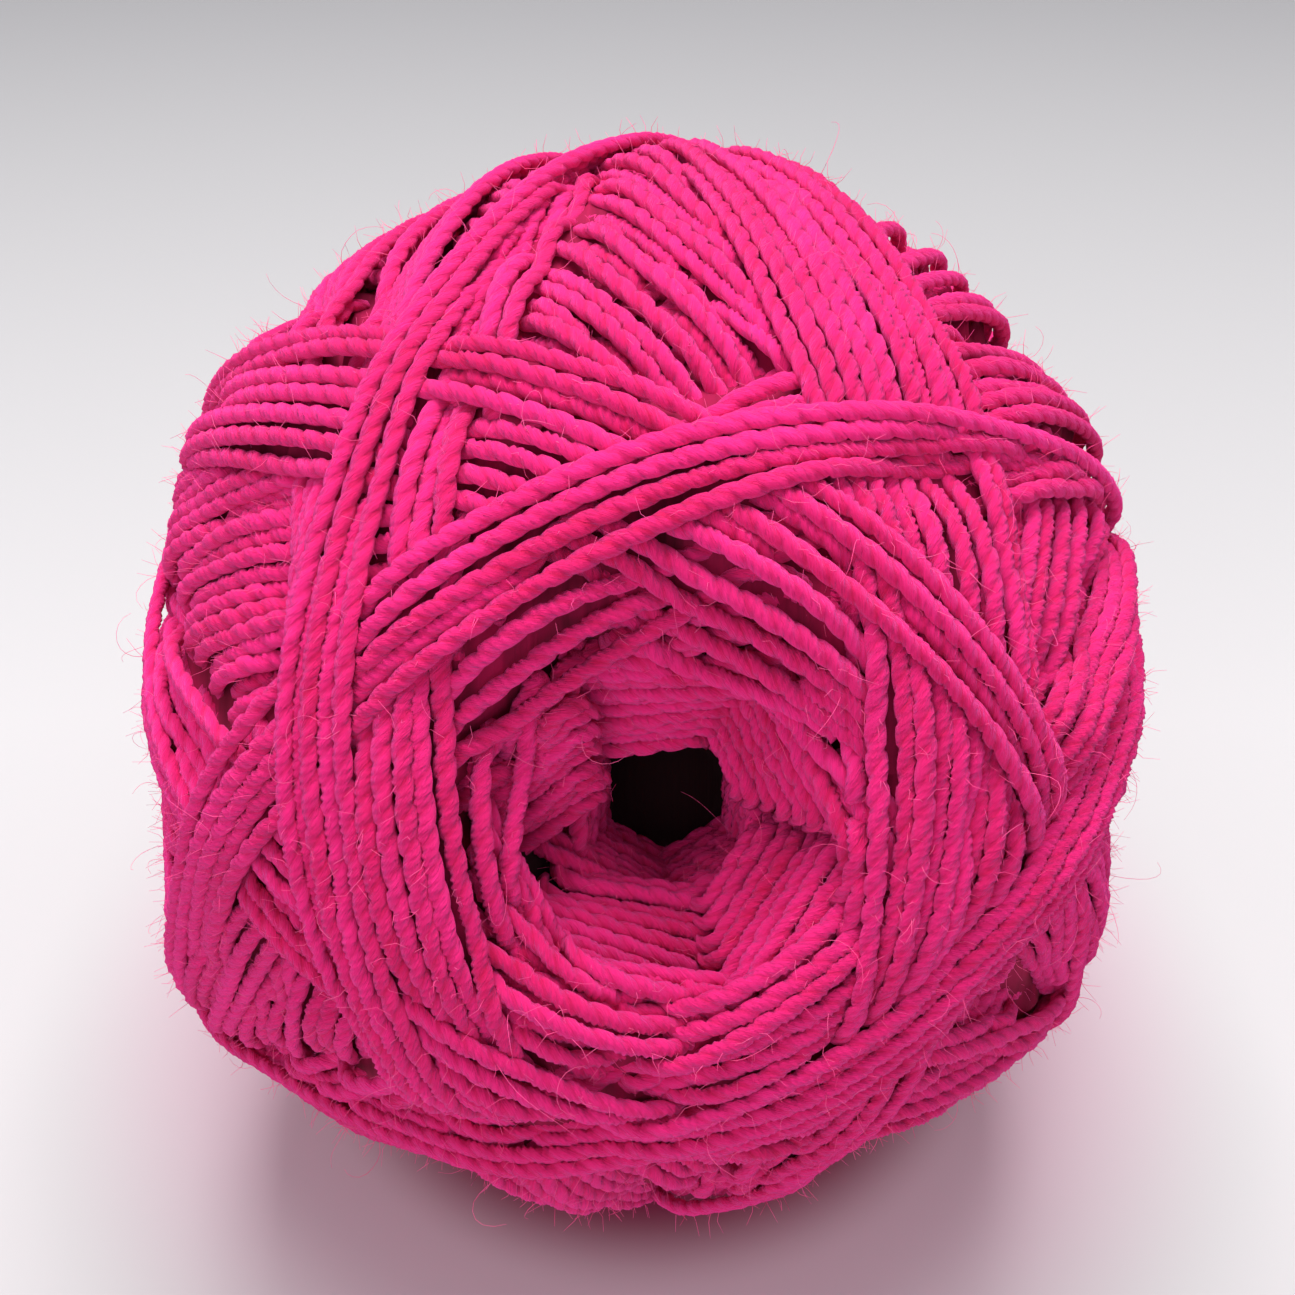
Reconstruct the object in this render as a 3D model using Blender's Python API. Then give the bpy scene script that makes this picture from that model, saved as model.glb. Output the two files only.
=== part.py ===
"""A machine-wound ball of soft two-ply wool with a funnel-shaped core hole.

The ball is one solid. Six broad bands of yarn cross each other around the core hole and
run on round the ball, so the same six bands show again at the far end. Lengths are in
metres and angles in degrees. The winding axis leans up towards the front of the ball.
"""

import math
from collections import namedtuple

import bmesh
import bpy
import numpy as np

# Body of the ball
HALF_WIDTH = 0.0419
HALF_DEPTH = 0.0434
HALF_HEIGHT = 0.0434
FLAT_SPOT_CUT = 0.0012

# Winding axis, and where it passes beside the middle of the body
AXIS_LEAN = 37.0
WINDING_OFFSET = (0.0020, -0.0050, -0.0055)

# Bands of yarn: side of the core hole that each passes, its angle from the axis and its rise
Band = namedtuple("Band", "name side closeness rise")
BANDS = (
    Band("right", 358.0, 26.5, 0.0016),
    Band("upper_right", 56.0, 27.5, 0.0017),
    Band("upper_left", 119.0, 26.5, 0.0018),
    Band("left", 182.0, 26.0, 0.0019),
    Band("lower_left", 243.0, 26.5, 0.0017),
    Band("lower_right", 300.0, 27.0, 0.0017),
)
# Angles of a band's width, and how little higher two bands stand where they cross and pack down
BAND_HALF_WIDTH = 8.5
BAND_SHOULDER = 2.5
BAND_CROSSING = 3.0
BAND_BOW = 2.0

# Core hole at the front, a crater that narrows into a throat, and the dimple at the far end.
# Each edge is an angle from the axis, and the length before it is its distance from the centre.
Hole = namedtuple("Hole", "floor floor_edge throat throat_edge rim rim_edge")
CORE_HOLE = Hole(floor=0.0180, floor_edge=8.0, throat=0.0300, throat_edge=9.6, rim=0.0430, rim_edge=19.0)
FAR_DIMPLE = Hole(floor=0.0340, floor_edge=9.0, throat=0.0350, throat_edge=12.0, rim=0.0440, rim_edge=20.0)
RIM_ROUNDING = 0.0010

# Swells and dents where the soft ball is out of round, by angle about the winding axis
Swell = namedtuple("Swell", "name around from_axis rise spread")
SWELLS = (
    Swell("right_dent", 22.0, 86.0, -0.0021, 17.0),
    Swell("upper_right_swell", 66.0, 88.0, 0.0012, 18.0),
    Swell("left_dent", 165.0, 86.0, -0.0036, 18.0),
    Swell("lower_left_swell", 205.0, 88.0, 0.0034, 17.0),
    Swell("lower_left_dent", 249.0, 90.0, -0.0064, 14.0),
    Swell("lower_right_dent", 298.0, 90.0, -0.0020, 13.0),
    Swell("lower_right_swell", 328.0, 88.0, 0.0016, 18.0),
)

# The floor presses the bands flat round the point that the ball rests on
PRESSED_INNER = 15.0
PRESSED_OUTER = 30.0

# Mesh: rows from the core hole to the far dimple, and columns about the winding axis
COLUMNS = 90
FLOOR_ROWS = (3.0, 5.5)
WALL_ROWS = 11
DIMPLE_ROWS = 6
BODY_ROWS = 30
WALL_MARGIN = (1.0, 4.5)

# Rows nearer an end than the first angle follow the sides of its hole, past the second not at all
FOLLOW_FULLY = 24.0
FOLLOW_NOT = 55.0

WOOL_COLOUR = (0.80, 0.022, 0.150, 1.0)
WOOL_ROUGHNESS = 0.9


def clear_scene():
    """Removes every object that is in the scene."""
    for thing in list(bpy.data.objects):
        bpy.data.objects.remove(thing, do_unlink=True)


def winding_frame():
    """Gives the unit vectors across, above and along the winding axis."""
    lean = math.radians(AXIS_LEAN)
    along = np.array((0.0, -math.cos(lean), math.sin(lean)))
    across = np.array((1.0, 0.0, 0.0))
    above = np.cross(along, across)
    return across, above, along


def smooth_step(low, high, value):
    """Rises from 0 at low to 1 at high."""
    share = np.clip((value - low) / (high - low), 0.0, 1.0)
    return share * share * (3.0 - 2.0 * share)


def angle_between(directions, target):
    """Gives the angle in degrees from each unit direction to one target direction."""
    return np.degrees(np.arccos(np.clip(directions @ target, -1.0, 1.0)))


def polar_direction(from_axis, around):
    """Gives unit directions in the winding frame from two angles in degrees."""
    theta = np.radians(from_axis)
    phi = np.radians(around)
    return np.stack((np.sin(theta) * np.cos(phi), np.sin(theta) * np.sin(phi), np.cos(theta)), -1)


def body_radius(directions):
    """Gives the distance from the winding centre to the plain body, in world directions."""
    halves = np.array((HALF_WIDTH, HALF_DEPTH, HALF_HEIGHT))
    start = np.array(WINDING_OFFSET) / halves
    step = directions / halves
    square = np.sum(step * step, -1)
    cross = step @ start
    rest = start @ start - 1.0
    return (-cross + np.sqrt(cross * cross - square * rest)) / square


def band_rise(local, band):
    """Gives how far one band stands proud of the body in each winding-frame direction."""
    near = polar_direction(band.closeness, band.side)
    ahead = polar_direction(90.0, band.side + 90.0)
    pole = np.cross(near, ahead)
    pole *= math.copysign(1.0, pole[2])
    travel = np.arctan2(local @ ahead, local @ near)
    off_line = np.degrees(np.arcsin(np.clip(local @ pole, -1.0, 1.0)))
    off_line = np.abs(off_line + BAND_BOW * np.cos(3.0 * travel))
    inside = 1.0 - smooth_step(BAND_HALF_WIDTH - BAND_SHOULDER, BAND_HALF_WIDTH + BAND_SHOULDER, off_line)
    return band.rise * inside


def swell_rise(local, swell):
    """Gives the height of one soft swell or dent in each winding-frame direction."""
    middle = polar_direction(swell.from_axis, swell.around)
    away = angle_between(local, middle) / swell.spread
    return swell.rise * np.exp(-away * away)


def outer_radius(local, world):
    """Gives the distance to the outside of the ball, without its holes."""
    down = np.array((0.0, 0.0, -1.0))
    free = smooth_step(PRESSED_INNER, PRESSED_OUTER, angle_between(world, down))
    bands = sum(band_rise(local, band) ** BAND_CROSSING for band in BANDS) ** (1.0 / BAND_CROSSING)
    swells = sum(swell_rise(local, swell) for swell in SWELLS)
    return body_radius(world) + bands * free + swells


def corner_share(around, mirrored):
    """Gives how far each direction lies from the straight sides of the six-sided hole."""
    turn = 180.0 if mirrored else 0.0
    sides = np.radians([band.side + turn for band in BANDS])
    return np.max(np.cos(np.radians(around)[..., None] - sides), axis=-1)


def hole_radius(from_axis, around, hole, mirrored):
    """Gives the distance to the floor and wall of a hole, growing steeply at its wall."""
    inward = from_axis * corner_share(around, mirrored)
    slope = (hole.rim - hole.throat) / (hole.rim_edge - hole.throat_edge)
    far_edge = 180.0
    far_depth = hole.rim + slope * (far_edge - hole.rim_edge)
    edges = (hole.floor_edge, hole.throat_edge, hole.rim_edge, far_edge)
    return np.interp(inward, edges, (hole.floor, hole.throat, hole.rim, far_depth))


def rounded_minimum(first, second):
    """Gives the smaller of two lengths, with the edge where they meet rounded."""
    gap = (first - second) / RIM_ROUNDING
    return np.minimum(first, second) - RIM_ROUNDING * np.log1p(np.exp(-np.abs(gap)))


def row_angles():
    """Gives each mesh row's angle from the winding axis, closer together at the holes."""
    inner, outer = WALL_MARGIN
    floor = np.array(FLOOR_ROWS)
    wall = np.linspace(CORE_HOLE.floor_edge - inner, CORE_HOLE.rim_edge + outer, WALL_ROWS)
    far_wall = np.linspace(FAR_DIMPLE.rim_edge + outer, FAR_DIMPLE.floor_edge - inner, DIMPLE_ROWS)
    body = np.linspace(wall[-1], 180.0 - far_wall[0], BODY_ROWS + 2)[1:-1]
    return np.concatenate((floor, wall, body, 180.0 - far_wall, 180.0 - floor[::-1]))


def surface_points(from_axis, around):
    """Gives world points on the ball for angles from and about the winding axis."""
    across, above, along = winding_frame()
    local = polar_direction(from_axis, around)
    world = local @ np.stack((across, above, along))
    radius = outer_radius(local, world)
    radius = rounded_minimum(radius, hole_radius(from_axis, around, CORE_HOLE, False))
    radius = rounded_minimum(radius, hole_radius(180.0 - from_axis, around, FAR_DIMPLE, True))
    return np.array(WINDING_OFFSET) + world * radius[..., None]


def follow_hole_sides(from_axis, around):
    """Bends the rows near each end so that they run along the six sides of its hole."""
    near_front = 1.0 - smooth_step(FOLLOW_FULLY, FOLLOW_NOT, from_axis)
    near_back = 1.0 - smooth_step(FOLLOW_FULLY, FOLLOW_NOT, 180.0 - from_axis)
    front = from_axis / corner_share(around, False) ** near_front
    return 180.0 - (180.0 - front) / corner_share(around, True) ** near_back


def ball_mesh():
    """Builds the closed surface from its rows and columns."""
    rows = row_angles()
    columns = np.arange(COLUMNS) * 360.0 / COLUMNS
    from_axis, around = np.meshgrid(rows, columns, indexing="ij")
    points = surface_points(follow_hole_sides(from_axis, around), around)
    ends = surface_points(np.array((0.0, 180.0)), np.array((0.0, 0.0)))

    shape = bmesh.new()
    rings = [[shape.verts.new(point) for point in row] for row in points]
    front, back = (shape.verts.new(point) for point in ends)
    for column in range(COLUMNS):
        after = (column + 1) % COLUMNS
        shape.faces.new((front, rings[0][column], rings[0][after]))
        shape.faces.new((back, rings[-1][after], rings[-1][column]))
        for upper, lower in zip(rings, rings[1:]):
            shape.faces.new((upper[column], lower[column], lower[after], upper[after]))
    bmesh.ops.triangulate(shape, faces=shape.faces)
    return shape


def press_flat_spot(shape):
    """Cuts the flat spot that the ball rests on and closes it with one face."""
    lowest = min(vert.co.z for vert in shape.verts)
    geometry = list(shape.verts) + list(shape.edges) + list(shape.faces)
    bmesh.ops.bisect_plane(
        shape,
        geom=geometry,
        dist=0.0000001,
        plane_co=(0.0, 0.0, lowest + FLAT_SPOT_CUT),
        plane_no=(0.0, 0.0, 1.0),
        clear_inner=True,
    )
    rim = [edge for edge in shape.edges if edge.is_boundary]
    bmesh.ops.holes_fill(shape, edges=rim, sides=0)


def stand_on_origin(shape):
    """Moves the ball so that the middle of its underside is at the origin."""
    points = np.array([vert.co for vert in shape.verts])
    low, high = points.min(axis=0), points.max(axis=0)
    shift = (-(low[0] + high[0]) / 2.0, -(low[1] + high[1]) / 2.0, -low[2])
    bmesh.ops.translate(shape, verts=shape.verts, vec=shift)


def wool_material():
    """Makes the wool's plain matt finish."""
    material = bpy.data.materials.new("pink_wool")
    material.use_nodes = True
    shader = material.node_tree.nodes["Principled BSDF"]
    shader.inputs["Base Color"].default_value = WOOL_COLOUR
    shader.inputs["Roughness"].default_value = WOOL_ROUGHNESS
    shader.inputs["Metallic"].default_value = 0.0
    return material


def build_ball():
    """Builds the wound ball as one named object."""
    shape = ball_mesh()
    press_flat_spot(shape)
    stand_on_origin(shape)
    bmesh.ops.recalc_face_normals(shape, faces=shape.faces)
    mesh = bpy.data.meshes.new("yarn_ball")
    shape.to_mesh(mesh)
    shape.free()
    mesh.shade_smooth()
    mesh.set_sharp_from_angle(angle=math.radians(50.0))
    mesh.materials.append(wool_material())
    ball = bpy.data.objects.new("yarn_ball", mesh)
    bpy.context.scene.collection.objects.link(ball)
    return ball


clear_scene()
build_ball()
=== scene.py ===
"""Dresses the wound yarn ball with every turn of wool that shows, its fuzz and its studio.

The turns are planned in the order in which a ball winder lays them. Each one is a loop that
passes close beside the winding axis. They are placed from the last to the first, each one
under the turns that cross it. What later turns bury is left out, and the rest becomes
two-ply yarn. Lengths are in metres and angles in degrees unless a name says otherwise.
"""
import logging
import math
from collections.abc import Iterable
from dataclasses import dataclass, field
from enum import Enum

import bpy
import numpy as np
from mathutils import Euler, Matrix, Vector
from mathutils.bvhtree import BVHTree


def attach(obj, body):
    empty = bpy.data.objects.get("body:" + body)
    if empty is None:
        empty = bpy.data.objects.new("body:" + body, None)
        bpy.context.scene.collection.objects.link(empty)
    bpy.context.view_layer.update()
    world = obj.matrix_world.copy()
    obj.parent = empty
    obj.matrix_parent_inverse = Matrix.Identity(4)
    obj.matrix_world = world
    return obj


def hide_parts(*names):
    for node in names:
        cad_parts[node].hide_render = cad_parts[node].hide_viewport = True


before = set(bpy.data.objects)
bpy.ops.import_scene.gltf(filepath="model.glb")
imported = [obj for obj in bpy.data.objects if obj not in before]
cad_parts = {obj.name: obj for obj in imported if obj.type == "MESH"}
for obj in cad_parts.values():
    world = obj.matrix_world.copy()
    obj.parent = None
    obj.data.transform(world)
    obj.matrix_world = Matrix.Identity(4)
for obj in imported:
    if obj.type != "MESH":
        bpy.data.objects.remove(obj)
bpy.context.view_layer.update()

LOG = logging.getLogger("yarn_ball")
CAD_NODE = "yarn_ball"


class PlyTwist(Enum):
    """Which way the plies lean on an upright strand."""

    RISES_TO_RIGHT = -1.0
    RISES_TO_LEFT = 1.0


class Layer(Enum):
    """Where a turn lies in the ball, from the heart outwards."""

    THROAT = "throat"
    CORE_HOLE = "core_hole"
    FAR_DIMPLE = "far_dimple"
    UNDER = "under"
    BAND = "band"


HOLE_LAYERS = (Layer.CORE_HOLE, Layer.FAR_DIMPLE)


@dataclass(frozen=True)
class WindingFrame:
    """The point that every turn goes round, and the axis that leans up to the front."""

    centre: tuple[float, float, float] = (0.0014, -0.0048, 0.0367)
    lean: float = 37.0

    def axes(self) -> np.ndarray:
        """Finds the directions of the winding frame.

        Returns:
            The unit vectors across, above and along the axis, a row for each.
        """
        lean = math.radians(self.lean)
        along = np.array((0.0, -math.cos(lean), math.sin(lean)))
        across = np.array((1.0, 0.0, 0.0))
        return np.stack((across, np.cross(along, across), along))

    def to_world(self, local: np.ndarray) -> np.ndarray:
        """Turns positions in the winding frame into world positions."""
        return local @ self.axes() + np.array(self.centre)


def unit(vectors: np.ndarray) -> np.ndarray:
    """Scales vectors to unit length."""
    return vectors / np.linalg.norm(vectors, axis=-1, keepdims=True)


def smooth_noise(rng: np.random.Generator, count: int, waves: int, closed: bool) -> np.ndarray:
    """Makes a smooth random line with values of about -1 to 1.

    Args:
        rng: the seeded source of chance.
        count: how many samples the line has.
        waves: how many bumps it has from end to end.
        closed: whether its end meets its start.

    Returns:
        One value for each sample.
    """
    knots = rng.uniform(-1.0, 1.0, waves + 1)
    if closed:
        knots[-1] = knots[0]
    place = np.linspace(0.0, waves, count, endpoint=not closed)
    low = np.minimum(place.astype(int), waves - 1)
    share = place - low
    share = share * share * (3.0 - 2.0 * share)
    return knots[low] * (1.0 - share) + knots[low + 1] * share


@dataclass
class SphereMap:
    """Heights above the winding centre in every direction, on the six faces of a cube."""

    cells: int = 150
    rings: tuple[float, ...] = (0.45, 0.95)
    heights: np.ndarray = field(init=False)

    def __post_init__(self) -> None:
        """Starts with every height at nought."""
        self.heights = np.zeros(6 * self.cells**2)

    def directions(self) -> np.ndarray:
        """Finds the direction of every cell.

        Returns:
            The unit direction of each cell's middle.
        """
        steps = np.tan(((np.arange(self.cells) + 0.5) / self.cells * 2.0 - 1.0) * math.pi / 4)
        first, second = np.meshgrid(steps, steps, indexing="ij")
        faces = []
        for axis in range(3):
            for sign in (1.0, -1.0):
                face = np.empty((self.cells, self.cells, 3))
                face[..., axis] = sign
                face[..., (axis + 1) % 3] = first
                face[..., (axis + 2) % 3] = second
                faces.append(face.reshape(-1, 3))
        return unit(np.concatenate(faces))

    def cell(self, directions: np.ndarray) -> np.ndarray:
        """Finds the cell that each direction falls in.

        Args:
            directions: unit directions, in an array of any shape.

        Returns:
            The cells' numbers, in the same shape.
        """
        flat = directions.reshape(-1, 3)
        rows = np.arange(len(flat))
        axis = np.argmax(np.abs(flat), axis=1)
        major = flat[rows, axis]
        size = np.abs(major)
        first = np.arctan(flat[rows, (axis + 1) % 3] / size) / (math.pi / 4)
        second = np.arctan(flat[rows, (axis + 2) % 3] / size) / (math.pi / 4)
        low = np.clip(((first + 1.0) / 2.0 * self.cells).astype(int), 0, self.cells - 1)
        high = np.clip(((second + 1.0) / 2.0 * self.cells).astype(int), 0, self.cells - 1)
        face = axis * 2 + (major < 0.0)
        return ((face * self.cells + low) * self.cells + high).reshape(directions.shape[:-1])

    def read(self, directions: np.ndarray) -> np.ndarray:
        """Gives the height in each direction."""
        return self.heights[self.cell(directions)]

    def around(
        self, directions: np.ndarray, reach: float, height: float
    ) -> Iterable[tuple[np.ndarray, float]]:
        """Reads the heights beside each direction.

        Args:
            directions: unit directions.
            reach: how far aside to look, in metres.
            height: the height at which the reach is measured.

        Returns:
            Pairs of the heights and how far aside they were read.
        """
        upwards, across = np.array((0.0, 0.0, 1.0)), np.array((1.0, 0.0, 0.0))
        spare = np.where(np.abs(directions[:, 2:]) < 0.9, upwards, across)
        first = unit(np.cross(directions, spare))
        second = np.cross(directions, first)
        for ring in self.rings:
            for turn in np.arange(8) * math.pi / 4:
                aside = first * math.cos(turn) + second * math.sin(turn)
                yield self.read(unit(directions * height + aside * reach * ring)), reach * ring


@dataclass
class BallForm:
    """The solid ball as seen from its winding centre."""

    winding: WindingFrame
    mean_radius: float = 0.0430

    def outside(self) -> SphereMap:
        """Measures the solid's surface in every direction.

        Returns:
            A map of the surface's height above the winding centre.
        """
        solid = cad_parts[CAD_NODE]
        tree = BVHTree.FromPolygons(
            [tuple(vert.co) for vert in solid.data.vertices],
            [tuple(face.vertices) for face in solid.data.polygons],
        )
        surface = SphereMap()
        start = Vector(self.winding.centre)
        rays = surface.directions() @ self.winding.axes()
        hits = [tree.ray_cast(start, Vector(ray))[3] for ray in rays]
        surface.heights = np.array([self.mean_radius if hit is None else hit for hit in hits])
        return surface


@dataclass(frozen=True)
class Yarn:
    """The size and make of the two-ply wool."""

    half_width: float = 0.00076
    half_height: float = 0.00062
    squash: float = 0.30
    ply_pitch: float = 0.0041
    twist: PlyTwist = PlyTwist.RISES_TO_RIGHT
    groove: tuple[float, ...] = (1.06, 1.00, 0.84, 1.00, 1.06, 1.00, 0.84, 1.00)
    thick_and_thin: float = 0.07


@dataclass
class Strand:
    """One laid turn: unit directions from the winding centre and the height of each point."""

    ways: np.ndarray
    heights: np.ndarray
    closed: bool
    layer: Layer
    seen: np.ndarray = field(default_factory=lambda: np.ones(1, bool))

    def points(self) -> np.ndarray:
        """Gives the middle line in the winding frame."""
        return self.ways * self.heights[:, None]

    def tangents(self) -> np.ndarray:
        """Finds which way the strand runs.

        Returns:
            The unit direction of travel at each point.
        """
        points = self.points()
        if self.closed:
            return unit(np.roll(points, -1, axis=0) - np.roll(points, 1, axis=0))
        return unit(np.gradient(points, axis=0))

    def sideways(self) -> np.ndarray:
        """Gives the unit direction to the strand's right, seen from outside."""
        return unit(np.cross(self.tangents(), self.ways))


@dataclass(frozen=True)
class Band:
    """A broad band: the side of the axis that it passes, and its angle from the axis."""

    name: str
    side: float
    closeness: float
    strands: int = 10


@dataclass(frozen=True)
class Course:
    """A few neighbouring strands of one band, laid together."""

    band: str
    first: int
    last: int


@dataclass(frozen=True)
class Lay:
    """Where one full turn goes: the side of the axis, its angle from it, and its layer."""

    side: float
    closeness: float
    layer: Layer


@dataclass
class Winder:
    """Finds where every turn comes to rest.

    The turns are planned in the order in which they are laid. They are placed from the last
    to the first, each one under the turns that cross it, so that the outside of the ball
    follows the solid however many turns lie below.
    """

    form: BallForm
    yarn: Yarn
    bands: tuple[Band, ...] = (
        Band("right", 358.0, 26.5),
        Band("upper_right", 56.0, 24.5, 8),
        Band("upper_left", 119.0, 22.8, 8),
        Band("left", 182.0, 26.0),
        Band("lower_left", 243.0, 26.5),
        Band("lower_right", 300.0, 27.0),
    )
    courses: tuple[Course, ...] = (
        Course("upper_left", 0, 3),
        Course("upper_right", 0, 4),
        Course("lower_left", 0, 5),
        Course("lower_right", 0, 5),
        Course("right", 0, 5),
        Course("left", 0, 5),
        Course("lower_left", 5, 10),
        Course("right", 5, 10),
        Course("upper_right", 4, 8),
        Course("upper_left", 3, 8),
        Course("left", 5, 10),
        Course("lower_right", 5, 10),
    )
    under_rounds: int = 46
    under_step: float = 1.6
    under_swing: float = 4.0
    under_sway: float = 0.25
    rim_closeness: tuple[float, ...] = (16.2, 17.4, 18.8, 20.2)
    rim_side: float = 2.0
    fillers: int = 420
    samples: int = 460
    bow: float = 2.0
    bow_waves: float = 3.0
    side_step: float = -0.9
    close_step: float = 1.85
    stray_side: float = 0.45
    stray_close: float = 0.30
    wander: float = 0.30
    wander_waves: int = 14
    ease_passes: int = 26
    soften_passes: int = 3
    lane_count: int = 5
    bearing: float = 0.35
    deepest: float = 0.0042
    seen_reach: float = 0.55
    press_reach: float = 0.8
    lanes_to_show: int = 3
    lining_margin: int = 6
    tuck_passes: int = 10
    tuck_lift: float = 0.00006
    filler_closeness: tuple[float, float] = (24.0, 30.0)
    filler_clearance: tuple[float, float] = (0.2, 1.6)
    hole_angle: float = 17.5
    enough_bare: int = 20
    seed: int = 11
    strands: list[Strand] = field(default_factory=list)
    rng: np.random.Generator = field(init=False)
    surface: SphereMap = field(init=False)
    under: SphereMap = field(init=False)
    cover: np.ndarray = field(init=False)

    def __post_init__(self) -> None:
        """Starts with nothing laid, and the space for the last turns just inside the solid."""
        self.rng = np.random.default_rng(self.seed)
        self.surface = self.form.outside()
        self.under = SphereMap(self.surface.cells)
        self.under.heights = self.surface.heights - (1.0 - self.yarn.squash) * self.yarn.half_height
        self.cover = np.zeros(len(self.surface.heights), bool)

    def plan(self) -> list[Lay]:
        """Lists every full turn in the order in which it is laid.

        Returns:
            One lay for each full turn.
        """
        lays = []
        for number in range(self.under_rounds, 0, -1):
            swing = self.under_swing * math.sin(number * self.under_sway)
            for band in self.bands:
                side = band.side - self.side_step * band.strands / 2 + self.under_step * number
                lays.append(Lay(side, band.closeness + swing, Layer.UNDER))
        for closeness in self.rim_closeness:
            lays += [Lay(band.side + self.rim_side, closeness, Layer.UNDER) for band in self.bands]
        named = {band.name: band for band in self.bands}
        for course in self.courses:
            band = named[course.band]
            for number in range(course.first, course.last):
                place = number - (band.strands - 1) / 2
                side = band.side + self.side_step * place
                lays.append(Lay(side, band.closeness + self.close_step * place, Layer.BAND))
        return lays

    def loop_ways(self, lay: Lay) -> np.ndarray:
        """Finds the path of a full turn.

        Args:
            lay: where the turn goes.

        Returns:
            A unit direction for each sample.
        """
        psi = math.radians(lay.side + self.rng.normal(0.0, self.stray_side))
        alpha = math.radians(lay.closeness + self.rng.normal(0.0, self.stray_close))
        near = np.array((
            math.sin(alpha) * math.cos(psi), math.sin(alpha) * math.sin(psi), math.cos(alpha)
        ))
        ahead = np.array((-math.sin(psi), math.cos(psi), 0.0))
        pole = np.cross(near, ahead)
        pole *= math.copysign(1.0, pole[2])
        travel = np.linspace(-math.pi, math.pi, self.samples, endpoint=False)
        stray = self.wander * smooth_noise(self.rng, self.samples, self.wander_waves, True)
        aside = np.radians(stray - self.bow * np.cos(self.bow_waves * travel))
        flat = near * np.cos(travel)[:, None] + ahead * np.sin(travel)[:, None]
        return flat * np.cos(aside)[:, None] + pole * np.sin(aside)[:, None]

    def lanes(self, strand: Strand, reach: float) -> tuple[np.ndarray, np.ndarray]:
        """Gives directions across a strand's width, and its half height at each.

        Args:
            strand: the strand with its present heights.
            reach: how far the outer lanes lie from the middle, as a share of half the width.

        Returns:
            Directions for every lane, and the half height in each lane.
        """
        across = np.linspace(-reach, reach, self.lane_count)
        aside = strand.sideways()[None] * (across * self.yarn.half_width)[:, None, None]
        return unit(strand.points()[None] + aside), self.yarn.half_height * np.sqrt(1.0 - across**2)

    def settle(self, strand: Strand) -> None:
        """Brings a strand to rest under the turns that are laid after it.

        Args:
            strand: a full turn, whose heights are set.
        """
        ways, _ = self.lanes(strand, self.bearing)
        limit = np.min(self.under.read(ways), axis=0) - self.yarn.squash * self.yarn.half_height
        height = limit.copy()
        for _ in range(self.ease_passes):
            height = np.minimum(limit, (np.roll(height, 1) + np.roll(height, -1)) / 2.0)
        for _ in range(self.soften_passes):
            height = (np.roll(height, 1) + 2.0 * height + np.roll(height, -1)) / 4.0
        strand.heights = height

    def tuck(self, strand: Strand) -> None:
        """Pushes the parts of a short turn that pass under full turns down below them.

        Args:
            strand: the short turn, whose heights are lowered.
        """
        ways, _ = self.lanes(strand, self.bearing)
        cells = self.under.cell(ways)
        below = np.where(self.cover[cells], self.under.heights[cells] - self.yarn.half_height, np.inf)
        limit = np.min(below, axis=0)
        height = np.minimum(strand.heights, limit)
        for _ in range(self.tuck_passes):
            height[1:-1] = np.minimum(height[1:-1], (height[2:] + height[:-2]) / 2.0 + self.tuck_lift)
        strand.heights = height

    def notice(self, strand: Strand) -> None:
        """Notes which points of a strand are not covered by later turns.

        Args:
            strand: the strand, whose seen points are set.
        """
        lining = strand.layer in HOLE_LAYERS
        ways, _ = self.lanes(strand, 1.0 if lining else self.seen_reach)
        lanes_bare = np.sum(~self.cover[self.under.cell(ways)], axis=0)
        if lining:
            bare = lanes_bare >= 1
            for shift in range(1, self.lining_margin + 1):
                bare[shift:] |= lanes_bare[:-shift] >= 1
                bare[:-shift] |= lanes_bare[shift:] >= 1
            strand.seen = bare
            return
        depth = self.surface.read(strand.ways) - strand.heights
        strand.seen = (lanes_bare >= self.lanes_to_show) & (depth < self.deepest)

    def add(self, strand: Strand) -> None:
        """Keeps a strand, and marks the space under it.

        Args:
            strand: the strand with its last heights and seen points.
        """
        ways, half = self.lanes(strand, self.press_reach)
        low = strand.heights[None] - half[:, None]
        for shift in (0, 1):
            cells = self.under.cell(unit(ways + np.roll(ways, -shift, axis=1)))
            shown = strand.seen.copy()
            if not strand.closed:
                shown[-1] = False
            self.cover[cells[:, shown].ravel()] = True
            np.minimum.at(self.under.heights, cells[:, shown].ravel(), low[:, shown].ravel())
        self.strands.append(strand)

    def place(self, lay: Lay) -> None:
        """Places one full turn under those already placed, unless it is wholly hidden.

        Args:
            lay: where the turn goes.
        """
        ways = self.loop_ways(lay)
        strand = Strand(ways, self.surface.read(ways), True, lay.layer)
        self.settle(strand)
        self.notice(strand)
        if strand.seen.any():
            self.add(strand)

    def filler(self, way: np.ndarray) -> Lay:
        """Finds a full turn that passes through a bare spot.

        Args:
            way: the unit direction of the bare spot.

        Returns:
            Where the turn goes.
        """
        from_axis = math.acos(max(-1.0, min(1.0, way[2])))
        clearance = self.bow + self.rng.uniform(*self.filler_clearance)
        nearest = math.degrees(min(from_axis, math.pi - from_axis)) - clearance
        closeness = min(self.rng.uniform(*self.filler_closeness), nearest)
        turn = math.tan(math.radians(closeness)) / math.tan(from_axis)
        swing = math.acos(max(-1.0, min(1.0, -turn))) * self.rng.choice((-1.0, 1.0))
        around = math.degrees(math.atan2(way[1], way[0]) + swing)
        return Lay(around + 180.0, closeness, Layer.UNDER)

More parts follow.
